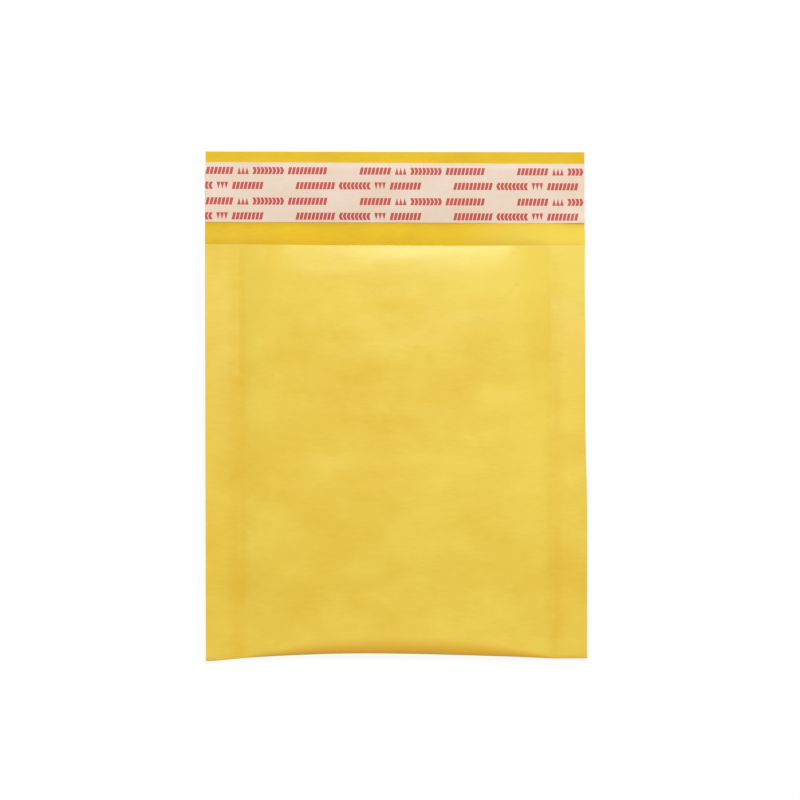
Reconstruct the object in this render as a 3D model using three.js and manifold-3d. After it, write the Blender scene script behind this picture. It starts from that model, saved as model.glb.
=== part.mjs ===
// A padded mailing envelope, lying on its back with the flap open.
//
// One web of kraft paper is folded once at the bottom: the back leaf, which runs on into the flap,
// and the shorter front leaf. A web of bubble film is folded with it, bubbles towards the paper and
// its smooth side towards the pocket. Heat seals press all four layers flat along both sides.
// A stripe of adhesive crosses the flap's inner face, covered by a release liner.
//
// Millimetres. X runs across the envelope, Y from the bottom fold to the flap, Z up from the table.
import * as THREE from "three";
import { mergeVertices } from "three/addons/utils/BufferGeometryUtils.js";
import Module from "manifold-3d";

const wasm = await Module();
wasm.setup();

const { smoothstep, lerp } = THREE.MathUtils;

// The paper web
const envelopeWidth = 165;
const bodyHeight = 180; // bottom corners to the mouth's edge
const flapHeight = 40; // mouth's edge to the flap's free edge
const paperThickness = 0.2;
const sealWidth = 14.5;

// The bubble film
const filmThickness = 0.25; // the smooth web, without its bubbles
const bubbleHeight = 2.6; // pressed by the paper
const bubbleFoot = 11; // across corners, at the web
const bubbleTop = 9.2; // across corners, at the flat top
const bubblePitch = 14;
const bubbleSides = 6;
const bubbleRooting = 0.8; // how deep a foot reaches before the pocket is cut free
const bubbleMargin = 1; // clear web between the outermost bubbles and a seal or an edge
const filmRecess = 5; // the film stops this far inside the mouth

// Clearances between the two webs
const sealClearance = 0.05;
const bubbleClearance = 0.3;

// The pocket between the film's two leaves
const pocketGap = 6.4;
const pocketGapAtFold = 1.4;
const pocketRise = 70; // from the fold to the full gap
const crownPower = 2; // how square the pocket's section is
const mouthFall = 2; // how far the front leaf has come down at the mouth's edge
const mouthFallLength = 20;
const mouthSteepening = 3; // power of the curve in which it comes down
const mouthPower = 4; // how squarely that fall reaches to the sides

// How the padding rises beside the seals
const shoulder = 12;
const shoulderAtMouth = 18;
const shoulderPower = 2.5; // how steeply the leaf leaves the seal
const mouthCornerLength = 36; // over which the shoulder widens to the mouth
const foldPower = 2.2; // how square the fold is, seen from its end
const cornerLength = 42; // over which the fold's section passes into the body's

// The height of the seals' middle plane over the table
const sealHeight = 3.2;
const sealHeightAtBottom = 2.2;
const sealHeightAtMouth = 1.5;
const sealRunOut = 60;

// Closure
const adhesiveWidth = 20;
const adhesiveThickness = 0.15;
const linerWidth = 26;
const linerThickness = 0.1;
const linerMargin = 5; // the liner's upper edge to the flap's free edge
const linerClearance = 1; // flat flap before the liner's lower edge
const linerBend = 1; // the liner steps down off the adhesive over this width

// How finely curved surfaces are divided
const sealColumns = 2;
const shoulderColumns = 4;
const crownColumns = 4;
const shoulderCrowding = 1.5; // more columns near the seal
const crownCrowding = 1.5; // more columns near the shoulders than in the middle
const bodyRows = 12;
const rowCrowding = 0.4;
const lipRows = 2;
const foldSteps = 6;
const settlingRows = 3;
const flatness = 0.002; // triangles flatter than this are joined

// Places that follow from the sizes; the origin is under the middle of the whole outline
const halfWidth = envelopeWidth / 2;
const sealEdge = halfWidth - sealWidth;
const bottomY = -(bodyHeight + flapHeight) / 2;
const mouthY = bottomY + bodyHeight;
const flapEndY = mouthY + flapHeight;
const filmEndY = mouthY - filmRecess;
const flapSettling = flapHeight - linerMargin - linerWidth - linerClearance;
const sealHalf = filmThickness + sealClearance + paperThickness;
const padding = bubbleHeight + bubbleClearance;

// Each layer's distance from the pocket's wall, where the padding has the given share of its height
const layers = {
  pocket: () => 0,
  filmOutside: () => filmThickness,
  paperInside: (share) => filmThickness + sealClearance + padding * share,
  paperOutside: (share) => sealHalf + padding * share,
};

// The bottom fold: a round nose that is sharp in the seals and full in the middle.
// Round the nose the paper takes a longer way, so the fold draws in from the line of the corners.
const crown = (x, power) => 1 - Math.min(Math.abs(x) / sealEdge, 1) ** power;
const foldShare = (x) => crown(x, foldPower);
const foldGap = (x) => pocketGapAtFold * foldShare(x);
const foldRadius = (x) => layers.paperOutside(foldShare(x)) + foldGap(x) / 2;
const foldCentreY = (x) =>
  bottomY + sealHalf + (Math.PI / 2) * (foldRadius(x) - sealHalf);

// The share of the padding's full height, from 0 in a seal to 1 past the shoulder.
// Near the bottom it passes into the fold's own section, so that the leaf runs smoothly into the fold.
function paddingShare(x, y) {
  const nearMouth = smoothstep(y, mouthY - mouthCornerLength, mouthY);
  const width = lerp(shoulder, shoulderAtMouth, nearMouth);
  const fromSeal = Math.max(0, sealEdge - Math.abs(x));
  const body = 1 - Math.max(0, 1 - fromSeal / width) ** shoulderPower;
  const pastFold = smoothstep(y - foldCentreY(x), 0, cornerLength);
  return lerp(foldShare(x), body, pastFold);
}

function sealPlane(y) {
  const nearBottom = 1 - smoothstep(y, bottomY, bottomY + sealRunOut);
  const nearMouth = smoothstep(y, mouthY - sealRunOut, mouthY);
  return (
    sealHeight +
    (sealHeightAtBottom - sealHeight) * nearBottom +
    (sealHeightAtMouth - sealHeight) * nearMouth
  );
}

// The paper's underside: flat on the table in the middle and on the flap, lifted beside the seals
function underside(x, y) {
  const bodyY = Math.min(y, mouthY);
  const lift = (sealPlane(bodyY) - sealHalf) * (1 - paddingShare(x, bodyY));
  return lift * (1 - smoothstep(y, mouthY, mouthY + flapSettling));
}

const pocketFloor = (x, y) =>
  underside(x, y) + layers.paperOutside(paddingShare(x, y));

// The front leaf comes down towards the mouth in a curve that grows steeper to its edge
function pocketHeight(x, y) {
  const along = Math.max(0, (y - mouthY) / mouthFallLength + 1);
  const fall = mouthFall * along ** mouthSteepening * crown(x, mouthPower);
  const full = pocketGap * crown(x, crownPower) - fall;
  const risen = smoothstep(y - foldCentreY(x), 0, pocketRise);
  return lerp(foldGap(x), full, risen);
}

const pocketCeiling = (x, y) => pocketFloor(x, y) + pocketHeight(x, y);

// Points of a layer on the front leaf, round the fold and on the back leaf
function onFront(layer, x, y) {
  const reach = layer(paddingShare(x, y));
  return new THREE.Vector3(x, y, pocketCeiling(x, y) + reach);
}

function onFold(layer, x, angle) {
  const y = foldCentreY(x);
  const radius = layer(foldShare(x)) + foldGap(x) / 2;
  return new THREE.Vector3(
    x,
    y - radius * Math.sin(angle),
    underside(x, y) + foldRadius(x) + radius * Math.cos(angle),
  );
}

function onBack(layer, x, y) {
  const reach = layer(paddingShare(x, y));
  return new THREE.Vector3(x, y, pocketFloor(x, y) - reach);
}

// Even steps from one value to another, both ends included
const steps = (from, to, count) =>
  Array.from({ length: count + 1 }, (_, i) => lerp(from, to, i / count));

// The columns' X from the middle to the right-hand edge, mirrored to the left
function columnsTo(lastX) {
  const shoulderX = sealEdge - shoulder;
  const middle = steps(0, 1, crownColumns).map(
    (t) => shoulderX * (1 - (1 - t) ** crownCrowding),
  );
  const rise = steps(1, 0, shoulderColumns).map(
    (t) => sealEdge - shoulder * t ** shoulderCrowding,
  );
  const right = [
    ...middle,
    ...rise.slice(1),
    ...steps(sealEdge, halfWidth, sealColumns).slice(1),
  ].filter((x) => x <= lastX);
  return [...right.slice(1).reverse().map((x) => -x), ...right];
}

// Rows from the film's end to the fold, closer together towards both
const rowPlaces = steps(0, 1, bodyRows).map(
  (t) => t - (rowCrowding * Math.sin(2 * Math.PI * t)) / (2 * Math.PI),
);
const bodyStations = (x) =>
  rowPlaces.map((place) => lerp(filmEndY, foldCentreY(x), place));
const foldAngles = steps(0, Math.PI, foldSteps).slice(1, -1);

// One column of a layer, from the front leaf's edge round the fold and back to the film's end.
// Stations before the film's end are added at both ends of the column.
function foldedColumn(layer, x, before) {
  const front = [...before, ...bodyStations(x)];
  return [
    ...front.map((y) => onFront(layer, x, y)),
    ...foldAngles.map((angle) => onFold(layer, x, angle)),
    ...front.toReversed().map((y) => onBack(layer, x, y)),
  ];
}

// Geometry from quads, each given by its corners, counter-clockwise as seen from outside
function fromQuads(quads) {
  const corners = quads.flatMap(([a, b, c, d]) => [a, b, c, a, c, d]);
  return new THREE.BufferGeometry().setFromPoints(corners);
}

// A quad is cut into triangles from its first corner to its third.
// Where it is bent, that diagonal is the one further out, so that every layer bulges alike.
function bulging([a, b, c, d]) {
  const outward = c.clone().sub(a).cross(d.clone().sub(b));
  const between = a.clone().add(c).sub(b).sub(d);
  return between.dot(outward) < 0 ? [b, c, d, a] : [a, b, c, d];
}

// Quads between neighbouring columns of points
function skin(columns) {
  return columns
    .slice(1)
    .flatMap((right, i) =>
      right
        .slice(1)
        .map((point, j) =>
          bulging([columns[i][j], columns[i][j + 1], point, right[j]]),
        ),
    );
}

// The same quads seen from behind, cut along the same diagonals
const turned = (quads) => quads.map(([a, b, c, d]) => [a, d, c, b]);

// A sheet of paper or liner: two skins, and a strip along each of its four edges
function sheet(outside, inside) {
  const edge = (outer, inner) => skin([outer, inner]);
  const rowOf = (columns, j) => columns.map((column) => column.at(j));
  return fromQuads([
    ...skin(outside),
    ...turned(skin(inside)),
    ...turned(edge(outside[0], inside[0])),
    ...edge(outside.at(-1), inside.at(-1)),
    ...edge(rowOf(outside, 0), rowOf(inside, 0)),
    ...turned(edge(rowOf(outside, -1), rowOf(inside, -1))),
  ]);
}

// The whole space inside a layer: its skin, closed at the mouth and at both sides.
// A side is closed by a strip between the front leaf and the back leaf; they meet at the fold's nose.
function filled(columns) {
  const side = (column) => {
    const half = Math.ceil(column.length / 2);
    return skin([column.slice(0, half), column.slice(-half).toReversed()]);
  };
  const mouth = skin([
    columns.map((column) => column[0]),
    columns.map((column) => column.at(-1)),
  ]);
  return fromQuads([
    ...skin(columns),
    ...mouth,
    ...turned(side(columns[0])),
    ...side(columns.at(-1)),
  ]);
}

// Between three.js geometry and manifold-3d solids
function solidOf(geometry) {
  const bare = new THREE.BufferGeometry();
  bare.setAttribute("position", geometry.getAttribute("position"));
  bare.setIndex(geometry.index);
  const merged = mergeVertices(bare);
  const index = merged.index.array;
  const triVerts = [];
  for (let i = 0; i < index.length; i += 3) {
    const [a, b, c] = index.slice(i, i + 3);
    if (a !== b && b !== c && c !== a) triVerts.push(a, b, c);
  }
  return new wasm.Manifold(
    new wasm.Mesh({
      numProp: 3,
      vertProperties: merged.getAttribute("position").array,
      triVerts: new Uint32Array(triVerts),
    }),
  );
}

function geometryOf(solid) {
  const { vertProperties, triVerts } = solid.getMesh();
  return new THREE.BufferGeometry()
    .setAttribute("position", new THREE.BufferAttribute(vertProperties, 3))
    .setIndex(new THREE.BufferAttribute(triVerts, 1));
}

// Kraft paper: front leaf, bottom fold, back leaf and flap in one sheet
function kraftSheet() {
  const lip = steps(mouthY, filmEndY, lipRows).slice(0, -1);
  const flap = [
    ...steps(mouthY, mouthY + flapSettling, settlingRows).slice(1),
    flapEndY,
  ];
  const column = (layer, x) => [
    ...foldedColumn(layer, x, lip),
    ...flap.map((y) => onBack(layer, x, y)),
  ];
  const columns = (layer) => columnsTo(halfWidth).map((x) => column(layer, x));
  const paper = sheet(columns(layers.paperOutside), columns(layers.paperInside));
  return geometryOf(solidOf(paper).simplify(flatness));
}

// One bubble: a hexagonal prism drawn in at the top, laid on the film's outer face.
// Beside the seals it is pressed down with the rest of the padding.
function bubble(centreX, centreY, surface, up) {
  const corner = (i) => {
    const angle = ((i + 0.5) / bubbleSides) * 2 * Math.PI;
    return new THREE.Vector2(Math.cos(angle), Math.sin(angle));
  };
  const outline = Array.from({ length: bubbleSides }, (_, i) => corner(i));
  const prism = new THREE.ExtrudeGeometry(new THREE.Shape(outline), {
    depth: 1,
    bevelEnabled: false,
  });
  const position = prism.getAttribute("position");
  for (let i = 0; i < position.count; i++) {
    const atTop = position.getZ(i) > 0;
    const radius = (atTop ? bubbleTop : bubbleFoot) / 2;
    const x = centreX + radius * position.getX(i) * up;
    const y = centreY + radius * position.getY(i);
    const height = atTop ? bubbleHeight * paddingShare(x, y) : -bubbleRooting;
    position.setXYZ(i, x, y, surface(x, y) + up * height);
  }
  return solidOf(prism);
}

// Bubbles stand in staggered rows wherever a whole foot fits between the seals, the fold and the mouth
function bubblePlaces() {
  const reach = bubbleFoot / 2 + bubbleMargin;
  const rowPitch = bubblePitch * Math.sin(Math.PI / 3);
  const lowest = foldCentreY(0) + reach;
  const rows = Math.floor((filmEndY - reach - lowest) / rowPitch);
  const places = [];
  for (let row = 0; row <= rows; row++) {
    const y = filmEndY - reach - row * rowPitch;
    const shift = row % 2 ? bubblePitch / 2 : 0;
    const side = Math.floor((sealEdge - reach - shift) / bubblePitch);
    for (let i = -side - (row % 2); i <= side; i++)
      places.push([i * bubblePitch + shift, y]);
  }
  return places;
}

// Bubble film: a pouch with welded sides and an open mouth, studded with bubbles on the outside
function bubbleLining() {
  const past = filmRecess / 2; // the pocket's cut runs out through the mouth
  const web = filled(
    columnsTo(halfWidth).map((x) => foldedColumn(layers.filmOutside, x, [])),
  );
  const pocket = filled(
    columnsTo(sealEdge).map((x) =>
      foldedColumn(layers.pocket, x, [filmEndY + past]),
    ),
  );
  const onTop = (x, y) => onFront(layers.filmOutside, x, y).z;
  const below = (x, y) => onBack(layers.filmOutside, x, y).z;
  const bubbles = bubblePlaces().flatMap(([x, y]) => [
    bubble(x, y, onTop, 1),
    bubble(x, y, below, -1),
  ]);
  const studded = wasm.Manifold.union([solidOf(web), ...bubbles]);
  return geometryOf(studded.subtract(solidOf(pocket)).simplify(flatness));
}

// Heights of the closure's layers on the flap's inner face
const flapTop = paperThickness;
const adhesiveTop = flapTop + adhesiveThickness;
const linerMiddleY = flapEndY - linerMargin - linerWidth / 2;

function adhesiveStripe() {
  const stripe = new THREE.BoxGeometry(
    envelopeWidth,
    adhesiveWidth,
    adhesiveThickness,
  );
  return stripe.translate(0, linerMiddleY, (flapTop + adhesiveTop) / 2);
}

// The liner lies on the adhesive, and its two dry edges step down to the paper
function releaseLiner() {
  const half = linerWidth / 2;
  const bend = adhesiveWidth / 2;
  const section = [
    [half, flapTop],
    [bend + linerBend, flapTop],
    [bend, adhesiveTop],
    [-bend, adhesiveTop],
    [-bend - linerBend, flapTop],
    [-half, flapTop],
  ];
  const columns = (rise) =>
    [-halfWidth, halfWidth].map((x) =>
      section.map(
        ([y, z]) => new THREE.Vector3(x, linerMiddleY + y, z + rise),
      ),
    );
  return sheet(columns(linerThickness), columns(0));
}

// Colour, roughness and metalness of each piece
const kraft = { color: 0xedcc58, roughness: 0.72, metalness: 0 };
const film = { color: 0xe4e6e4, roughness: 0.25, metalness: 0 };
const glue = { color: 0xe9dfc0, roughness: 0.3, metalness: 0 };
const siliconePaper = { color: 0xeaded0, roughness: 0.45, metalness: 0 };

const envelope = new THREE.Group();

function add(name, geometry, finish) {
  geometry.computeVertexNormals();
  const mesh = new THREE.Mesh(
    geometry,
    new THREE.MeshStandardMaterial(finish),
  );
  mesh.name = name;
  envelope.add(mesh);
}

add("kraft_sheet", kraftSheet(), kraft);
add("bubble_lining", bubbleLining(), film);
add("adhesive_stripe", adhesiveStripe(), glue);
add("release_liner", releaseLiner(), siliconePaper);

export default envelope;
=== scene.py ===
import math

import bpy
import numpy as np
from mathutils import Euler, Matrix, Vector


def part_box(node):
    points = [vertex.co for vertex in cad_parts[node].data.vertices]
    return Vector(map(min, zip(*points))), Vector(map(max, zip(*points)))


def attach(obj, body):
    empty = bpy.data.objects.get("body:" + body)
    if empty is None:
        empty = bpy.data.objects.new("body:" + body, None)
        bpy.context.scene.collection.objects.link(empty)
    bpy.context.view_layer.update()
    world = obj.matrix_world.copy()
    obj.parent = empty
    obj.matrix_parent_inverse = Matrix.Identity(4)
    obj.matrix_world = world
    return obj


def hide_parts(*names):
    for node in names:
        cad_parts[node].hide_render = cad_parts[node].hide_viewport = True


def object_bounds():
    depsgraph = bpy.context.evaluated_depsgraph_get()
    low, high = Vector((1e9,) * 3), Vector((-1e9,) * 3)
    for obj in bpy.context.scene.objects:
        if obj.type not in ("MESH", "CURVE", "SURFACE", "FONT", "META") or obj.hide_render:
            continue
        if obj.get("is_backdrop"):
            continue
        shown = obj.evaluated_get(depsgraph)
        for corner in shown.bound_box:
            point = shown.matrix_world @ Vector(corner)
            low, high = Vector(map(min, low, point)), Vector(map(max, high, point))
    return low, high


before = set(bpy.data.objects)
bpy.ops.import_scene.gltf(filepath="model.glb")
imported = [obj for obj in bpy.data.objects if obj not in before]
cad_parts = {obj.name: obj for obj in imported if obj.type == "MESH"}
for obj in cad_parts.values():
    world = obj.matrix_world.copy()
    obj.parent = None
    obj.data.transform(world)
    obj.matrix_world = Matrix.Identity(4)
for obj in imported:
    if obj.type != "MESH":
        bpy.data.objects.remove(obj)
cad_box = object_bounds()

# A padded mailing envelope lying on its back with the flap open. Shapes are worked out in
# millimetres, X across, Y from the bottom fold to the flap, Z up, and become metres in the mesh.
MM = 0.001


def corners(node):
    """The low and the high corner of a CAD node's box, in millimetres."""
    low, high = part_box(node)
    return np.array(low) / MM, np.array(high) / MM


paper_low, paper_high = corners("kraft_sheet")
_, film_high = corners("bubble_lining")
liner_low, liner_high = corners("release_liner")
glue_low, glue_high = corners("adhesive_stripe")

# The paper web
half_width = paper_high[0]
bottom_y = paper_low[1]
flap_end_y = paper_high[1]
flap_height = 40
mouth_y = flap_end_y - flap_height
film_end_y = film_high[1]
paper_thickness = glue_low[2]
seal_width = 14.5
seal_edge = half_width - seal_width
outer_half = (0.5 * half_width, half_width)

# The bubble film
film_thickness = 0.25
bubble_height = 2.6
bubble_foot = 11
bubble_pitch = 14
bubble_margin = 1
bubble_clearance = 0.3
bubble_reach = bubble_foot / 2 + bubble_margin
bubble_row_pitch = bubble_pitch * math.sin(math.pi / 3)
first_bubble_row = film_end_y - bubble_reach
seal_clearance = 0.05
weld_gap = 0.005
seal_half = film_thickness + seal_clearance + paper_thickness
padding = bubble_height + bubble_clearance

# The pocket between the film's two leaves
pocket_gap = 6.4
pocket_gap_at_fold = 1.4
pocket_rise = 70
crown_power = 2
mouth_fall = 2.1
mouth_fall_length = 28
mouth_steepening = 4
mouth_power = 5.5

# How the padding rises beside the seals
shoulder = 12
shoulder_at_mouth = 19.5
shoulder_power = 2.1
seal_easing = 2.5
mouth_corner_length = 36
fold_power = 2.2
corner_length = 42
nose_stretch = 3

# The height of the seals' middle plane
seal_height = 3.6
seal_height_at_bottom = 2.2
seal_height_at_mouth = 1.7
seal_run_out = 60
left_flatness = 0.75
flatter_left = (42, 68)
flatter_above = mouth_y - 95

liner_clearance = 1
flap_settling = liner_low[1] - liner_clearance - mouth_y


def smoothstep(value, low, high):
    """0 up to low, 1 from high, and t * t * (3 - 2 * t) between them."""
    t = np.clip((value - low) / (high - low), 0, 1)
    return t * t * (3 - 2 * t)


def mix(first, second, share):
    return first + (second - first) * share


def bell(value, middle, width):
    """exp(-((value - middle) / width) ** 2): 1 in the middle, small past the width."""
    return np.exp(-(((value - middle) / width) ** 2))


# Each layer's distance from the pocket's wall, where the padding has the given share of its height


def pocket_wall(share):
    """The film's face towards the pocket, a hair off the weld's middle."""
    return weld_gap + 0 * share


def film_outside(share):
    """The film's face towards the paper."""
    return film_thickness + 0 * share


def paper_inside(share):
    """The paper's face towards the film: clear of it in a seal, a whole padding off elsewhere."""
    return film_thickness + seal_clearance + padding * share


def paper_outside(share):
    """The paper's outer face: half a seal, and the padding times its share."""
    return seal_half + padding * share


# The bottom fold, sharp in the seals and full in the middle


def crown(x, power):
    """1 - (|x| / seal_edge) ** power: 1 in the middle, 0 in the seals."""
    return 1 - np.minimum(np.abs(x) / seal_edge, 1) ** power


def fold_share(x):
    """The padding's share along the fold."""
    return crown(x, fold_power)


def fold_gap(x):
    """The pocket's height along the fold."""
    return pocket_gap_at_fold * fold_share(x)


def fold_radius(x):
    """Half of the fold's height: the paper's outer face and half the pocket."""
    return paper_outside(fold_share(x)) + fold_gap(x) / 2


def nose_reach(x):
    """How much further the fold's nose reaches than it is high above its middle."""
    return nose_stretch * fold_share(x)


def fold_y(x):
    """The fold's centre: the paper's way round a fuller nose is longer, so the nose draws in."""
    drawn_in = math.pi / 2 * (fold_radius(x) - seal_half)
    return bottom_y + seal_half + drawn_in + nose_reach(x)


def inside_seal(x):
    """The distance s from the seal's edge as s * s / (s + easing), so that sides start gently."""
    distance = np.maximum(0, seal_edge - np.abs(x))
    return distance**2 / (distance + seal_easing)


def padding_share(x, y):
    """0 in a seal, 1 past a round shoulder, and near the bottom passing into the fold's arc."""
    near_mouth = smoothstep(y, mouth_y - mouth_corner_length, mouth_y)
    width = mix(shoulder, shoulder_at_mouth, near_mouth)
    body = 1 - np.maximum(0, 1 - inside_seal(x) / width) ** shoulder_power
    past_fold = smoothstep(y - fold_y(x), 0, corner_length)
    return mix(fold_share(x), body, past_fold)


def seal_plane(y):
    """The height of the seals' middle plane: lower at the bottom and at the mouth."""
    near_bottom = 1 - smoothstep(y, bottom_y, bottom_y + seal_run_out)
    near_mouth = smoothstep(y, mouth_y - seal_run_out, mouth_y)
    bottom_change = (seal_height_at_bottom - seal_height) * near_bottom
    mouth_change = (seal_height_at_mouth - seal_height) * near_mouth
    return seal_height + bottom_change + mouth_change


def underside(x, y):
    """Flat on the table in the middle, lifted beside the seals, settling on the flap.

    The lift is (seal_plane - seal_half) * (1 - padding_share).
    """
    body_y = np.minimum(y, mouth_y)
    lift = (seal_plane(body_y) - seal_half) * (1 - padding_share(x, body_y))
    on_left = smoothstep(-x, *flatter_left) * smoothstep(body_y, flatter_above, mouth_y)
    settled = smoothstep(y, mouth_y, mouth_y + flap_settling)
    return lift * (1 - left_flatness * on_left) * (1 - settled)


def pocket_floor(x, y):
    """Above the underside by the paper, the padding and the film."""
    return underside(x, y) + paper_outside(padding_share(x, y))


def pocket_height(x, y):
    """A crown across, low at the fold, and coming down ever more steeply to the mouth's edge."""
    across = seal_edge - inside_seal(x)
    along = np.maximum(0, (y - mouth_y) / mouth_fall_length + 1)
    fall = mouth_fall * along**mouth_steepening * crown(across, mouth_power)
    full = pocket_gap * crown(across, crown_power) - fall
    risen = smoothstep(y - fold_y(x), 0, pocket_rise)
    return mix(fold_gap(x), full, risen)


def pocket_ceiling(x, y):
    """The floor plus the pocket's height."""
    return pocket_floor(x, y) + pocket_height(x, y)


# Small shapes that the paper takes over the bubbles


def waves(seed, count, shortest, longest, stretch):
    """A function of x and y: a sum of sines of random direction, length and phase, about 1 high.

    Lengths are spread from shortest to longest across the envelope's height, and are stretch
    times longer across its width. A longer wave is higher in proportion.
    """
    draw = np.random.default_rng(seed)
    lengths = np.geomspace(shortest, longest, count)
    lean = draw.uniform(-0.9, 0.9, count)
    phase = draw.uniform(0, 2 * math.pi, count)
    height = lengths / lengths.sum()

    def value(x, y):
        total = 0
        for i in range(count):
            turn = 2 * math.pi / lengths[i]
            total = total + height[i] * np.sin(turn * (y + lean[i] * x / stretch) + phase[i])
        return total * math.sqrt(2)

    return value


undulation = waves(seed=11, count=14, shortest=9, longest=46, stretch=2.5)
patches = waves(seed=23, count=9, shortest=24, longest=70, stretch=1.2)
puckers = waves(seed=37, count=10, shortest=6, longest=17, stretch=8)
creep = waves(seed=41, count=5, shortest=48, longest=120, stretch=1.5)

# How far the folded web is out of square
fold_skew = 1.1
fold_rising = (-half_width, -64)
fold_sinking = (-32, 44.8)
corner_drop = 0.2
skew_length = 70
side_spread = 0.7
side_spreading = (5, 50)
side_waist = 0.25
mouth_blend = 3
flap_taper = 0.35
lip_draw = 0.85
lip_power = 3
lip_slant = 0.55

# The swell of the paper's right part, from the mouth to the liner
flap_rise = 0.8
swell_across = (25, 55)
swell_below_mouth = 25
swell_past_liner = 2
pocket_play = 0.6

# The relief of the front leaf, and how the margins wander up
undulation_height = 0.27
imprint_height = 0.16
imprint_strength = 0.55
imprint_swing = 0.45
patch_contrast = 1.6
pucker_height = 0.3
pucker_place = 1.5
pucker_reach = 4.5
relief_past_fold = (1, 16)
relief_before_mouth = (-2, 12)
creep_height = 0.3


def bubble_lattice(x, y):
    """Three cosine waves at 60 degrees that meet over each bubble: 1 there, about 0 between.

    Their sum runs from -1.5 to 3, so (sum + 1.5) / 4.5 runs from 0 to 1.
    """
    along = 2 * math.pi * x / bubble_pitch
    up = math.pi * (y - first_bubble_row) / bubble_row_pitch
    return (np.cos(along - up) + np.cos(along + up) + np.cos(2 * up) + 1.5) / 4.5


def front_relief(x, y):
    """Undulation and faint bubble imprints on the padding, puckers along the side seals."""
    share = padding_share(x, y)
    patchy = np.clip(patches(x, y) * patch_contrast, -1, 1)
    strength = imprint_strength + imprint_swing * patchy
    imprint = imprint_height * (bubble_lattice(x, y) - 1) * strength
    rolling = undulation_height * undulation(x, y)
    by_seal = bell(seal_edge - np.abs(x), pucker_place, pucker_reach)
    pucker = pucker_height * np.maximum(0, 0.5 + 0.5 * puckers(x, y)) * by_seal
    past_fold = smoothstep(y - fold_y(x), *relief_past_fold)
    before_mouth = smoothstep(mouth_y - y, *relief_before_mouth)
    return ((imprint + rolling) * share + pucker) * past_fold * before_mouth


def seal_creep(x, y):
    """The sealed margins and the flap's edge wander up a little, never down."""
    free = 1 - padding_share(x, np.minimum(y, mouth_y))
    past_mouth = 1 - smoothstep(y, mouth_y, mouth_y + flap_settling)
    return creep_height * (0.5 + 0.5 * creep(x, y)) * free * past_mouth


# Points of a layer as arrays of shape (columns, rows, 3)


def points(x, y, z):
    """Three arrays or numbers, stretched to one shape and put together as points."""
    return np.stack(np.broadcast_arrays(x, y, z), axis=-1)


def on_front(layer, x, y):
    """A layer of the front leaf. The swell of the back leaf pushes it up past the pocket's play."""
    reach = layer(padding_share(x, y))
    pushed = np.maximum(0, flap_swell(x, y) - pocket_play * pocket_height(x, y))
    z = pocket_ceiling(x, y) + reach + seal_creep(x, y)
    return points(x, y, z + front_relief(x, y) + pushed)


def on_fold(layer, x, angle):
    """Half an ellipse round the fold's centre, from the front leaf at 0 to the back leaf at pi."""
    y = fold_y(x)
    radius = layer(fold_share(x)) + fold_gap(x) / 2
    z = underside(x, y) + fold_radius(x) + radius * np.cos(angle) + seal_creep(x, y)
    return points(x, y - (radius + nose_reach(x)) * np.sin(angle), z)


def flap_swell(x, y):
    """The right part of the paper rises a little from the table on both sides of the mouth."""
    across = smoothstep(x, *swell_across)
    rising = smoothstep(y, mouth_y - swell_below_mouth, mouth_y)
    falling = smoothstep(y, mouth_y, liner_low[1] + swell_past_liner)
    return flap_rise * across * rising * (1 - falling)


def on_back(layer, x, y):
    """A layer of the back leaf or the flap."""
    reach = layer(padding_share(x, y))
    z = pocket_floor(x, y) - reach + seal_creep(x, y)
    return points(x, y, z + flap_swell(x, y))


def lip_y(x):
    """The front leaf's edge draws in where the leaf bulges, and was cut a little out of square."""
    across = (x + half_width) / (2 * half_width)
    return mouth_y - lip_draw * crown(x, lip_power) - lip_slant * across


def folded(layer, x, front_end_y, back_end_y, pitch):
    """One layer of a folded web: front leaf from its end to the fold, round it, and back."""
    x = x[:, None]
    front_t = spaced(0, 1, pitch / (mouth_y - bottom_y))[None, :]
    front_y = mix(front_end_y, fold_y(x), front_t)
    fold_steps = 12
    angle = np.linspace(0, math.pi, fold_steps + 1)[None, 1:-1]
    rows = [
        on_front(layer, x, front_y),
        on_fold(layer, x, angle),
        on_back(layer, x, front_y[:, ::-1]),
    ]
    if back_end_y > mouth_y:
        back_t = spaced(0, 1, pitch / (back_end_y - mouth_y))[None, 1:]
        rows.append(on_back(layer, x, mix(front_end_y, back_end_y, back_t)))
    return askew(np.concatenate(rows, axis=1))


def askew(grid):
    """The web was folded a little out of square, so near the bottom it lies shifted in its plane.

    Its fold rises from the left corner and sinks again past the middle, and its right-hand side
    stands out a little further below the middle than above.
    """
    x, y = grid[..., 0], grid[..., 1]
    near_bottom = 1 - smoothstep(y, bottom_y, bottom_y + skew_length)
    risen = smoothstep(x, *fold_rising) - smoothstep(x, *fold_sinking)
    lift = (fold_skew * risen - corner_drop) * near_bottom
    lower_half = smoothstep(-y, *side_spreading)
    spread = (side_spread * lower_half - side_waist) * smoothstep(x, *outer_half)
    on_body = 1 - smoothstep(y, mouth_y - mouth_blend, mouth_y + mouth_blend)
    return grid + points(spread * on_body + tapering(x, y), lift, 0 * x)


def tapering(x, y):
    """The flap's left-hand side leans inwards a little."""
    on_flap = smoothstep(y, mouth_y, flap_end_y)
    return flap_taper * on_flap * smoothstep(-x, *outer_half)


def spaced(low, high, pitch):
    """Evenly spaced values with both ends, about a pitch apart."""
    return np.linspace(low, high, round((high - low) / pitch) + 1)


def places_across(pitch, fine_pitch):
    """Places across the web, closer together over the edge of each side seal."""
    fine_reach = 6
    middle = spaced(0, seal_edge - fine_reach, pitch)
    by_seal = spaced(seal_edge - fine_reach, seal_edge + fine_reach, fine_pitch)
    in_seal = spaced(seal_edge + fine_reach, half_width, pitch)
    right = np.concatenate([middle, by_seal[1:], in_seal[1:]])
    return np.concatenate([-right[:0:-1], right])


# Meshes

sharp_angle = math.radians(50)


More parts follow.
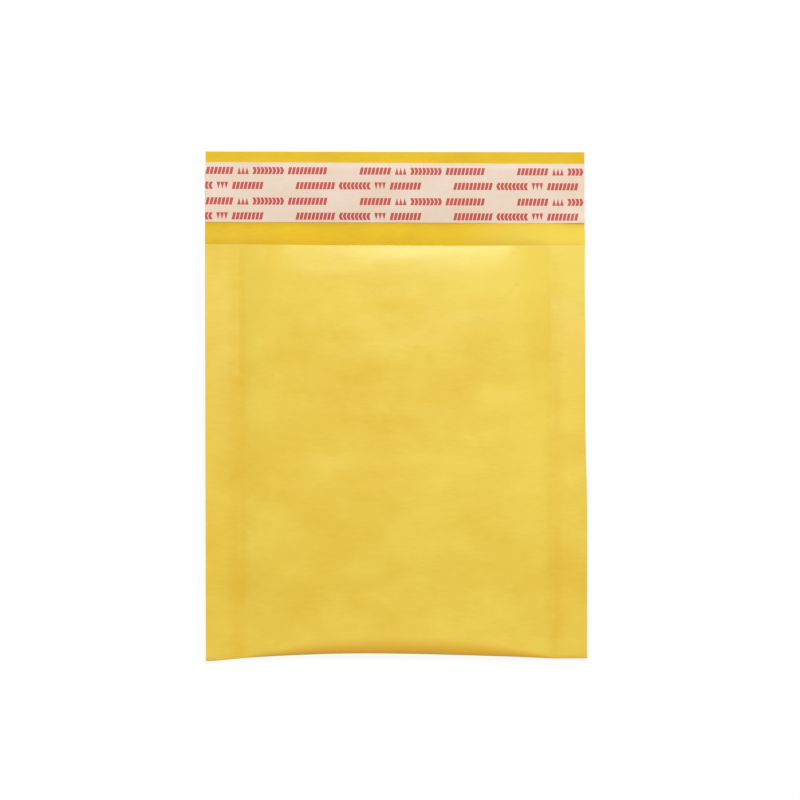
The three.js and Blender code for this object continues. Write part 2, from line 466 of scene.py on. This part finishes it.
def make_mesh(name, vertices, faces, materials, face_materials=None):
    """A mesh object from vertices in millimetres, shaded smooth except at sharp edges."""
    mesh = bpy.data.meshes.new(name)
    mesh.from_pydata((vertices * MM).tolist(), [], faces)
    for material in materials:
        mesh.materials.append(material)
    if face_materials is not None:
        mesh.polygons.foreach_set("material_index", face_materials)
    mesh.shade_smooth()
    mesh.set_sharp_from_angle(angle=sharp_angle)
    mesh.update()
    piece = bpy.data.objects.new(name, mesh)
    bpy.context.scene.collection.objects.link(piece)
    return piece


def grid_quads(columns, rows, first=0):
    """Quads of a grid whose vertex (i, j) has the index first + i * rows + j."""
    corner = np.arange(columns - 1)[:, None] * rows + np.arange(rows - 1)[None, :]
    corner = corner.ravel() + first
    return np.stack([corner, corner + 1, corner + rows + 1, corner + rows], axis=1)


def store(piece, name, values):
    """Keeps one number a vertex on the mesh, for its material to read."""
    attribute = piece.data.attributes.new(name, "FLOAT", "POINT")
    attribute.data.foreach_set("value", values.astype(np.float32))


def sheet(name, outside, inside, materials):
    """A sheet of paper or film: two grids of points, joined along their four edges.

    The first material is on the outside, the second on the inside and the cut edges.
    """
    columns, rows = outside.shape[:2]
    count = columns * rows
    grid = np.arange(count).reshape(columns, rows)
    outer = grid_quads(columns, rows)
    inner = grid_quads(columns, rows, first=count)[:, ::-1]
    border = np.concatenate([grid[0, :-1], grid[:-1, -1], grid[-1, :0:-1], grid[:0:-1, 0]])
    after = np.roll(border, -1)
    rim = np.stack([border, border + count, after + count, after], axis=1)
    faces = np.concatenate([outer, inner, rim])
    on_inside = np.repeat([0, 1, 1], [len(outer), len(inner), len(rim)])
    vertices = np.concatenate([outside.reshape(-1, 3), inside.reshape(-1, 3)])
    return make_mesh(name, vertices, faces.tolist(), materials, on_inside)


# Materials


class Socket:
    """An output socket of a node. Python's operators on it add Math nodes."""

    def __init__(self, graph, socket):
        self.graph = graph
        self.socket = socket

    def _math(self, operation, first, second):
        return self.graph.add("Math", {"operation": operation}, {0: first, 1: second})

    def __add__(self, other):
        return self._math("ADD", self, other)

    def __radd__(self, other):
        return self._math("ADD", other, self)

    def __sub__(self, other):
        return self._math("SUBTRACT", self, other)

    def __mul__(self, other):
        return self._math("MULTIPLY", self, other)

    def clamped(self):
        return self.graph.add("Clamp", {}, {"Value": self})


class Graph:
    """The nodes of one material or of the world."""

    mixed_colour = 2  # which output of a Mix node is its colour

    def __init__(self, owner):
        owner.use_nodes = True
        self.tree = owner.node_tree
        self.tree.nodes.clear()

    def add(self, kind, settings=(), inputs=(), output=0):
        """Adds a node, sets its settings, then its sockets' values or links; gives an output."""
        node = self.tree.nodes.new("ShaderNode" + kind)
        for name, value in dict(settings).items():
            setattr(node, name, value)
        for key, value in dict(inputs).items():
            if isinstance(value, Socket):
                self.tree.links.new(value.socket, node.inputs[key])
            else:
                node.inputs[key].default_value = value
        return Socket(self, node.outputs[output])

    def noise(self, place, per_metre, detail=2.0, roughness=0.5, stretch=(1, 1, 1), turn=0.0):
        """Noise from 0 to 1 with so many waves in a metre, on stretched and turned coordinates."""
        mapping = {"Vector": place, "Rotation": (0, 0, turn), "Scale": stretch}
        mapped = self.add("Mapping", {}, mapping)
        sizes = {"Vector": mapped, "Scale": per_metre, "Detail": detail, "Roughness": roughness}
        return self.add("TexNoise", {}, sizes)

    def blend(self, share, first, second):
        """Mixes two colours."""
        colours = {"Factor": share, "A": first, "B": second}
        return self.add("Mix", {"data_type": "RGBA"}, colours, output=self.mixed_colour)

    def attribute(self, name):
        """A number that the mesh keeps for each vertex."""
        return self.add("Attribute", {"attribute_name": name}, output="Fac")

    def bump(self, strength, distance, height):
        """The normal of a bumpy surface, the distance in metres."""
        inputs = {"Strength": strength, "Distance": distance, "Height": height}
        return self.add("Bump", {}, inputs)

    def principled(self, inputs):
        """Makes a Principled BSDF the material's surface."""
        self.add_output(self.add("BsdfPrincipled", {}, inputs))

    def add_output(self, shader, kind="OutputMaterial"):
        node = self.tree.nodes.new("ShaderNode" + kind)
        self.tree.links.new(shader.socket, node.inputs["Surface"])


def colour(red, green, blue):
    """A linear colour from the three values from 0 to 255 that a screen shows."""
    shown = np.array([red, green, blue]) / 255
    linear = np.where(shown <= 0.04045, shown / 12.92, ((shown + 0.055) / 1.055) ** 2.4)
    return (*linear.tolist(), 1)


def swing(noise, amount):
    """Noise from 0 to 1 as a swing about 0: (noise - 0.5) * amount."""
    return (noise - 0.5) * amount


def new_material(name):
    material = bpy.data.materials.new(name)
    return material, Graph(material)


sheen_tint = (0.6, 1.0, 0.88, 1)


def kraft_paper(name, light, dark, wear_and_painted_light, roughness, specular):
    """Golden kraft: clouded colour, crossing fibres and a fine tooth, a soft machine gloss.

    The mesh's attribute tone moves it between dark and light, and wear towards the third colour,
    where the paper is also rougher. Tone also carries painted light and sheen; wear carries painted
    shade with the crease wear round the outer face's fold, and painted sheen on the inner face.
    """
    material, graph = new_material(name)
    place = graph.add("TexCoord", output="Object")
    cloud = graph.noise(place, 60, detail=3, stretch=(0.75, 1, 1))
    drift = graph.noise(place, 14, detail=2, stretch=(0.8, 1, 1))
    long_fibre = graph.noise(place, 900, detail=2, stretch=(0.25, 1, 1), turn=0.09)
    cross_fibre = graph.noise(place, 700, detail=2, stretch=(0.22, 1, 1), turn=1.2)
    tooth = graph.noise(place, 2600, detail=3, roughness=0.65)
    fleck = graph.noise(place, 420, detail=1, stretch=(0.5, 1, 1), turn=0.5)
    fibres = swing(long_fibre, 0.4) + swing(cross_fibre, 0.25) + swing(tooth, 0.2)
    clouds = swing(cloud, 1) + swing(drift, 0.45)
    # tone holds painted light and sheen as well as the paper's own tone
    share = (clouds + fibres + graph.attribute("tone")).clamped()
    rare_fleck = ((fleck - 0.69) * 9).clamped() * 0.3
    flecked = graph.blend(rare_fleck, graph.blend(share, dark, light), dark)
    # wear: crease wear with painted shade round the outer fold, painted light and sheen on the
    # inner face
    wear_and_painted_share = graph.attribute("wear")
    height = long_fibre * 0.5 + cross_fibre * 0.3 + tooth * 0.4
    graph.principled(
        {
            "Base Color": graph.blend(wear_and_painted_share, flecked, wear_and_painted_light),
            "Roughness": roughness + swing(tooth, 0.25) + swing(cloud, 0.1) + wear_and_painted_share * 0.3,
            "Normal": graph.bump(0.35, 0.12 * MM, height),
            "Specular IOR Level": specular,
            "Specular Tint": sheen_tint,
        }
    )
    return material


def clear_film():
    """Polyethylene film: mostly clear, slightly milky, with draw lines and small wrinkles."""
    material, graph = new_material("clear_film")
    place = graph.add("TexCoord", output="Object")
    haze = graph.noise(place, 120, detail=3)
    drawn = graph.noise(place, 500, detail=2, stretch=(0.1, 1, 1))
    graph.principled(
        {
            "Base Color": graph.blend(haze, colour(226, 231, 232), colour(240, 242, 241)),
            "Roughness": 0.16 + haze * 0.14,
            "Alpha": 0.34 + haze * 0.2,
            "Normal": graph.bump(0.3, 0.2 * MM, haze + drawn * 0.4),
            "IOR": 1.5,
        }
    )
    return material


def hot_melt():
    """Clear yellowish adhesive with a wet gloss and a slightly uneven surface."""
    material, graph = new_material("hot_melt_adhesive")
    place = graph.add("TexCoord", output="Object")
    lumps = graph.noise(place, 260, detail=2, stretch=(0.3, 1, 1))
    graph.principled(
        {
            "Base Color": graph.blend(lumps, colour(226, 208, 158), colour(238, 224, 184)),
            "Roughness": 0.18 + lumps * 0.2,
            "Normal": graph.bump(0.4, 0.2 * MM, lumps),
        }
    )
    return material


def silicone_paper():
    """Off-white release paper: glassine with faint clouds, a silky coat and a calender grain."""
    material, graph = new_material("silicone_paper")
    place = graph.add("TexCoord", output="Object")
    cloud = graph.noise(place, 90, detail=3, stretch=(0.6, 1, 1))
    grain = graph.noise(place, 1500, detail=2, stretch=(0.3, 1, 1))
    share = (swing(cloud, 1.4) + swing(grain, 0.6) + 0.5).clamped()
    graph.principled(
        {
            "Base Color": graph.blend(share, colour(238, 213, 184), colour(249, 227, 211)),
            "Roughness": 0.36 + swing(grain, 0.2),
            "Normal": graph.bump(0.2, 0.1 * MM, grain + cloud * 0.6),
            "Coat Weight": 0.15,
            "Coat Roughness": 0.3,
        }
    )
    return material


def red_ink():
    """Flexographic ink, a little thin and uneven."""
    material, graph = new_material("red_ink")
    place = graph.add("TexCoord", output="Object")
    wear = graph.noise(place, 1800, detail=3)
    graph.principled(
        {
            "Base Color": graph.blend(wear, colour(194, 56, 52), colour(214, 88, 80)),
            "Roughness": 0.42 + swing(wear, 0.2),
        }
    )
    return material


# The kraft web: the front leaf, the bottom fold, the back leaf and the flap

kraft_pitch = 1.5
kraft_fine_pitch = 0.75
# Where the bottom fold's nose is darker: crease wear with painted shade
wear_and_shade_nose = (-0.75, 0.3)

# The tone of the inner face: painted light by the lip, the liner's painted shadow and painted sheen
inner_middle_tone = 0.45
painted_light_change = 0.5
liner_shadow_change = 0.6
painted_light_strip = (4, 14)
painted_light_left_end = (40, 70)
liner_shadow_overlap = 0.3
liner_shadow_width = 1.5
liner_shadow_spread = 1.6
liner_shadow_spreading = (68, 76)
painted_sheen_strip = (8, 16)
painted_sheen_across = (22, 58)


def fold_wear_and_shade(grid):
    """1 where the paper has been bent round the bottom fold, 0 where it is flat: crease wear with
    painted shade.
    """
    x, y = grid[..., 0], grid[..., 1]
    reach = fold_radius(x) + nose_reach(x)
    return 1 - smoothstep((y - fold_y(x)) / reach, *wear_and_shade_nose)


def outer_tone_and_painted_light(grid):
    """How pale the paper's outer face is: 0.5 plus the patches, each its change times its place.

    The paler bottom, top, right side, top right corner and shoulders are painted light, sheen and
    highlight. The seals' edges are dark because they are pressed hot.
    """
    x, y = grid[..., 0], grid[..., 1]
    from_seal = seal_edge - np.abs(x)
    left_margin = smoothstep(-x, seal_edge - 4, seal_edge + 2)
    tone_and_painted_light_patches = {
        # Painted light: paler near the bottom, painted sheen towards the top and on the right, a
        # painted highlight in the top right corner, and painted light over the shoulders against
        # their shade.
        "painted light bottom": 0.08 * (1 - smoothstep(y, bottom_y + 10, bottom_y + 75)),
        "painted sheen top": 0.22 * smoothstep(y, mouth_y - 55, mouth_y - 15),
        "painted sheen right": 0.12 * smoothstep(x, 0, 55) * smoothstep(y, -60, 10),
        "painted highlight top right": 0.3 * smoothstep(x, 25, 50) * smoothstep(y, mouth_y - 24, mouth_y - 3),
        "painted light shoulders": 0.18 * bell(from_seal, 6, 8),
        "warm middle": -0.1 * bell(x, -4, 26) * bell(y, -8, 38),
        "dark left margin": -0.2 * left_margin * bell(y, 28, 46),
        "dark low corners": -0.18 * smoothstep(np.abs(x), 38, 62) * smoothstep(-y, 52, 74),
        "dark seal edges": -0.3 * bell(from_seal, -1.2, 3.2),
    }
    return 0.5 + sum(tone_and_painted_light_patches.values())


def painted_liner_shadow(grid):
    """1 along the liner's lower edge, where a painted shadow of the liner lies, widest at its end.
    """
    x, y = grid[..., 0], grid[..., 1]
    below_liner = liner_low[1] + liner_cut + liner_lean(x) - y
    return bell(below_liner, -liner_shadow_overlap, liner_shadow_width + liner_shadow_spread * smoothstep(x, *liner_shadow_spreading))


def by_lip(y, low, high):
    """1 near the front leaf's edge, 0 further than high from it."""
    return 1 - smoothstep(np.abs(y - mouth_y), low, high)


def inner_tone_and_painted_light(grid):
    """How pale the paper's inner face is: painted light by the lip against the shade there, less on
    the left, and the liner's painted shadow.
    """
    x, y = grid[..., 0], grid[..., 1]
    painted_light = by_lip(y, *painted_light_strip) * (1 - smoothstep(-x, *painted_light_left_end))
    return inner_middle_tone + painted_light_change * painted_light - liner_shadow_change * painted_liner_shadow(grid)


def painted_sheen_by_mouth(grid):
    """1 on the right of the strip between the mouth and the liner: painted light and sheen, not in
    the liner's painted shadow.
    """
    x, y = grid[..., 0], grid[..., 1]
    return by_lip(y, *painted_sheen_strip) * smoothstep(x, *painted_sheen_across) * (1 - painted_liner_shadow(grid))


def kraft_web():
    x = places_across(kraft_pitch, kraft_fine_pitch)
    front_end_y = lip_y(x)[:, None]
    outside = folded(paper_outside, x, front_end_y, flap_end_y, kraft_pitch)
    inside = folded(paper_inside, x, front_end_y, flap_end_y, kraft_pitch)
    # The fold's darker colour is crease wear with painted shade; the inner face's paler colour is
    # painted sheen.
    crease_and_shade, painted_sheen_colour = colour(246, 186, 36), colour(249, 217, 76)
    pale, straw = colour(255, 221, 80), colour(242, 195, 34)
    gold, amber = colour(255, 211, 12), colour(229, 183, 0)
    outer = kraft_paper("kraft_outside", pale, straw, crease_and_shade, 0.4, specular=0.85)
    inner = kraft_paper("kraft_inside", gold, amber, painted_sheen_colour, 0.38, specular=0.38)
    piece = sheet("kraft_web", outside, inside, [outer, inner])
    # Both attributes carry painted light and shade as well as the paper's wear and tone.
    for name, outer_values, inner_values in (
        ("wear", fold_wear_and_shade(outside), painted_sheen_by_mouth(inside)),
        ("tone", outer_tone_and_painted_light(outside), inner_tone_and_painted_light(inside)),
    ):
        store(piece, name, np.concatenate([outer_values.ravel(), inner_values.ravel()]))
    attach(piece, "root")
    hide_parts("kraft_sheet")


# The bubble film

film_pitch = 2.5
dome_segments = 14
dome_rings = 5
dome_power = 2.6
last_ring_rise = 0.93
dome_sunk = -0.12


def bubble_places():
    """Centres of the bubbles: staggered rows wherever a whole foot fits on the web."""
    lowest = fold_y(0) + bubble_reach
    rows = int((first_bubble_row - lowest) // bubble_row_pitch) + 1
    places = []
    for row in range(rows):
        shift = bubble_pitch / 2 if row % 2 else 0
        side = int((seal_edge - bubble_reach - shift) // bubble_pitch)
        x = np.arange(-side - row % 2, side + 1) * bubble_pitch + shift
        y = np.full(len(x), first_bubble_row - row * bubble_row_pitch)
        places.append(np.stack([x, y], axis=1))
    return np.concatenate(places)


def domes(leaf, up):
    """Round domes on one leaf, sitting on the film's face.

    A dome's section is a superellipse, width ** power + rise ** power = 1. Gives vertices and
    faces: rings of points from the foot to near the top, with a point at the top and one under
    the foot, which is sunk into the film.
    """
    centres = bubble_places()
    segments, rings = dome_segments, dome_rings
    turn = np.arange(segments) * 2 * math.pi / segments
    rise = np.linspace(0, last_ring_rise, rings)
    width = (1 - rise**dome_power) ** (1 / dome_power)
    ring_x = width[:, None] * np.cos(turn)[None, :] * bubble_foot / 2 * up
    ring_y = width[:, None] * np.sin(turn)[None, :] * bubble_foot / 2
    local_x = np.concatenate([ring_x.ravel(), [0, 0]])
    local_y = np.concatenate([ring_y.ravel(), [0, 0]])
    ring_rise = np.repeat(rise, segments) * bubble_height
    ring_rise[:segments] = dome_sunk
    local_z = np.concatenate([ring_rise, [bubble_height, dome_sunk]])
    x = centres[:, :1] + local_x[None, :]
    y = centres[:, 1:] + local_y[None, :]
    on_leaf = leaf(film_outside, x, y)[..., 2]
    height = np.where(local_z > 0, local_z * padding_share(x, y), local_z)
    vertices = askew(points(x, y, on_leaf + up * height))

    step = np.arange(segments)
    after = (step + 1) % segments
    walls = [
        np.stack([step, after, after + segments, step + segments], axis=1) + ring * segments
        for ring in range(rings - 1)
    ]
    last = (rings - 1) * segments
    top, under = rings * segments, rings * segments + 1
    walls = np.concatenate(walls)
    caps = np.stack([step + last, after + last, np.full(segments, top)], axis=1)
    feet = np.stack([after, step, np.full(segments, under)], axis=1)
    first = np.arange(len(centres))[:, None, None] * (under + 1)
    faces = []
    for part in (walls, caps, feet):
        faces += (part[None] + first).reshape(-1, part.shape[1]).tolist()
    return vertices.reshape(-1, 3), faces


def bubble_film():
    x = spaced(-half_width, half_width, film_pitch)
    film = clear_film()
    outside = folded(film_outside, x, film_end_y, film_end_y, film_pitch)
    inside = folded(pocket_wall, x, film_end_y, film_end_y, film_pitch)
    web = sheet("bubble_film_web", outside, inside, [film, film])
    front_vertices, front_faces = domes(on_front, 1)
    back_vertices, back_faces = domes(on_back, -1)
    count = len(front_vertices)
    shifted = [[index + count for index in face] for face in back_faces]
    vertices = np.concatenate([front_vertices, back_vertices])
    bubbles = make_mesh("bubble_film_bubbles", vertices, front_faces + shifted, [film])
    for piece in (web, bubbles):
        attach(piece, "root")
        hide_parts("bubble_lining")


# The closure

liner_middle_y = (liner_low[1] + liner_high[1]) / 2
liner_thickness = 0.1
adhesive_half = (glue_high[1] - glue_low[1]) / 2
adhesive_thickness = glue_high[2] - glue_low[2]
liner_bend = 3
liner_lift = -0.1
liner_cut = 0.12
liner_end_lift = 0.5
liner_end_length = 16
liner_edge_width = 9
liner_ripple_height = 0.05
liner_shift = 0.2
liner_turn = 0.25
liner_pitch = 1.5
liner_fine_pitch = 0.75
liner_ripple = waves(seed=53, count=7, shortest=14, longest=60, stretch=0.5)


def liner_underside(x, y):
    """On the adhesive, down to the paper above it, its lower edge free, most at the right end."""
    beyond = smoothstep(y - liner_middle_y, adhesive_half, adhesive_half + liner_bend)
    lying = paper_thickness + adhesive_thickness * (1 - beyond)
    at_end = smoothstep(x, half_width - liner_end_length, half_width)
    at_edge = smoothstep(liner_low[1] + liner_edge_width - y, 0, liner_edge_width)
    ripple = liner_ripple_height * (1 + liner_ripple(x, y))
    return lying + (liner_lift + liner_end_lift * at_end) * at_edge**2 + ripple


def liner_lean(x):
    """The liner was laid a little out of line, higher on the left."""
    return liner_shift - liner_turn * x / half_width


def release_liner():
    x = spaced(-half_width, half_width, liner_pitch)[:, None]
    y = spaced(liner_low[1] + liner_cut, liner_high[1], liner_fine_pitch)[None, ::-1]
    under = liner_underside(x, y)
    laid_x, laid_y = x + tapering(x, y), y + liner_lean(x)
    inside = points(laid_x, laid_y, under)
    outside = points(laid_x, laid_y, under + liner_thickness)
    material = silicone_paper()
    piece = sheet("release_liner_paper", outside, inside, [material, material])
    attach(piece, "root")
    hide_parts("release_liner")


# The liner's print: four rows of plain marks in groups, every second row turned round.
# A mark is the strip between a left and a right edge, from its foot at 0 to its head at 1.
mark_height = 3.1
mark_advance = 1.7
mark_gap = 1.7
group_pitch = 68.5
group_repeats = (-2, -1, 0, 1)
print_rows = 4
print_row_pitch = 6.6
first_print_row = 3.6
row_starts = (-15.5, -43.2)
turned_row_rise = 0.15
stroke = 1.25
bar_slant = 0.7
arrow_half_width = 0.8
chevron_reach = 0.65
chevron_back = 0.35
cut_mark = 0.4
ink_height = 0.02
ink_depth = 0.03
mark_steps = 6


def stroked(middle):
    return middle - stroke / 2, middle + stroke / 2


def slanted_bar(t):
    return stroked(bar_slant * (t - 0.5))


def arrow_head(t):
    return arrow_half_width * (t - 1), arrow_half_width * (1 - t)


def chevron(t):
    return stroked(chevron_reach * (1 - np.abs(2 * t - 1)) - chevron_back)


mark_group = ((slanted_bar, 8), (arrow_head, 3), (chevron, 8), (slanted_bar, 10))


def mark_places():
    """Each mark's shape, the middle of its place, and 1, or -1 where its row is turned round."""
    shapes = [shape for shape, count in mark_group for _ in range(count)]
    groups = [group for group, (_, count) in enumerate(mark_group) for _ in range(count)]
    along = (np.arange(len(shapes)) + 0.5) * mark_advance + np.array(groups) * mark_gap
    length = along[-1] + mark_advance / 2
    for row in range(print_rows):
        way = -1 if row % 2 else 1
        y = liner_high[1] - first_print_row - row * print_row_pitch
        y += turned_row_rise if way < 0 else 0
        for repeat in group_repeats:
            start = row_starts[row % 2] + repeat * group_pitch
            for shape, offset in zip(shapes, along):
                x = start + (offset if way > 0 else length - offset)
                if abs(x) < half_width - cut_mark:
                    yield shape, x, y, way


def liner_print():
    """Each mark is a thin strip that follows the liner's face, from just inside it to above it."""
    t = np.linspace(0, 1, mark_steps + 1)
    rows = len(t)
    ladder = grid_quads(2, rows)
    border = np.concatenate([np.arange(rows), np.arange(rows)[::-1] + rows])
    after = np.roll(border, -1)
    rim = np.stack([border, border + 2 * rows, after + 2 * rows, after], axis=1)
    solid = np.concatenate([ladder, ladder[:, ::-1] + 2 * rows, rim])
    vertices, faces = [], []
    for shape, x, y, way in mark_places():
        left, right = shape(t)
        mark_x = np.clip(x + way * np.stack([left, right]), -half_width, half_width)
        mark_y = y + way * mark_height * np.stack([t, t]) - way * mark_height / 2
        face_z = liner_underside(mark_x, mark_y) + liner_thickness
        first = len(vertices) * 4 * rows
        mark_y = mark_y + liner_lean(mark_x)
        mark_x = mark_x + tapering(mark_x, mark_y)
        above = points(mark_x, mark_y, face_z + ink_height).reshape(-1, 3)
        below = points(mark_x, mark_y, face_z - ink_depth).reshape(-1, 3)
        vertices.append(np.concatenate([above, below]))
        faces += (solid + first).tolist()
    piece = make_mesh("liner_print", np.concatenate(vertices), faces, [red_ink()])
    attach(piece, "root")


def adhesive():
    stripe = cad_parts["adhesive_stripe"]
    material = hot_melt()
    for slot in stripe.material_slots:
        slot.material = material


# Floor, light and camera

floor_half = 3000
floor_grey = 0.7
floor_glow = 1.12
floor_share_of_glow = 0.78
world_glow = 0.55
white = (1, 1, 1, 1)


def pale_floor():
    """A plain floor that the camera sees nearly white, with a part of the object's shadow."""
    square = np.array([(-1, -1, 0), (1, -1, 0), (1, 1, 0), (-1, 1, 0)]) * floor_half
    material, graph = new_material("pale_floor")
    seen = graph.add("LightPath", output="Is Camera Ray")
    glossy = graph.add("LightPath", output="Is Glossy Ray")
    through = graph.add("LightPath", output="Is Transmission Ray")
    lit = graph.add("BsdfDiffuse", {}, {"Color": (floor_grey, floor_grey, floor_grey, 1)})
    glowing = graph.add("Emission", {}, {"Color": white, "Strength": floor_glow})
    share = (seen + glossy + through).clamped() * floor_share_of_glow
    graph.add_output(graph.add("MixShader", {}, {0: share, 1: lit, 2: glowing}))
    floor = make_mesh("floor", square, [(0, 1, 2, 3)], [material])
    floor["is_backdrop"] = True


def white_world():
    """A world that the camera sees white and that lights the object more softly."""
    world = bpy.data.worlds.new("studio")
    bpy.context.scene.world = world
    graph = Graph(world)
    seen = graph.add("LightPath", output="Is Camera Ray")
    glow = graph.add("Background", {}, {"Color": white, "Strength": world_glow})
    shown = graph.add("Background", {}, {"Color": white, "Strength": 1.0})
    graph.add_output(graph.add("MixShader", {}, {0: seen, 1: glow, 2: shown}), "OutputWorld")


def softbox(name, place, aim, size, power):
    """A rectangular lamp that faces the point it is aimed at. Places in metres, power in watts."""
    lamp = bpy.data.lights.new(name, "AREA")
    lamp.shape = "RECTANGLE"
    lamp.size, lamp.size_y = size
    lamp.energy = power
    lamp_object = bpy.data.objects.new(name, lamp)
    lamp_object.location = place
    facing = (Vector(aim) - Vector(place)).to_track_quat("-Z", "Y")
    lamp_object.rotation_euler = facing.to_euler()
    bpy.context.scene.collection.objects.link(lamp_object)


def overhead_camera():
    """Straight above the envelope, far off, a little left of its middle."""
    camera = bpy.data.cameras.new("camera")
    camera.lens = 135
    camera.sensor_width = 36
    camera_object = bpy.data.objects.new("camera", camera)
    camera_object.location = (-0.07016, 0.00811, 1.30035)
    tilt = [math.radians(angle) for angle in (-0.247, -3.17, -0.129)]
    camera_object.rotation_euler = Euler(tilt)
    bpy.context.scene.collection.objects.link(camera_object)
    bpy.context.scene.camera = camera_object


kraft_web()
bubble_film()
adhesive()
release_liner()
liner_print()
pale_floor()
white_world()
softbox("key", place=(0.24, 1, 1.81), aim=(0, 0, 0), size=(0.8, 0.6), power=18.5)
overhead_camera()
bpy.context.scene.view_settings.view_transform = "Standard"

boxes = {"cad": cad_box, "visual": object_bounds()}
plain = {name: [list(corner) for corner in box] for name, box in boxes.items()}
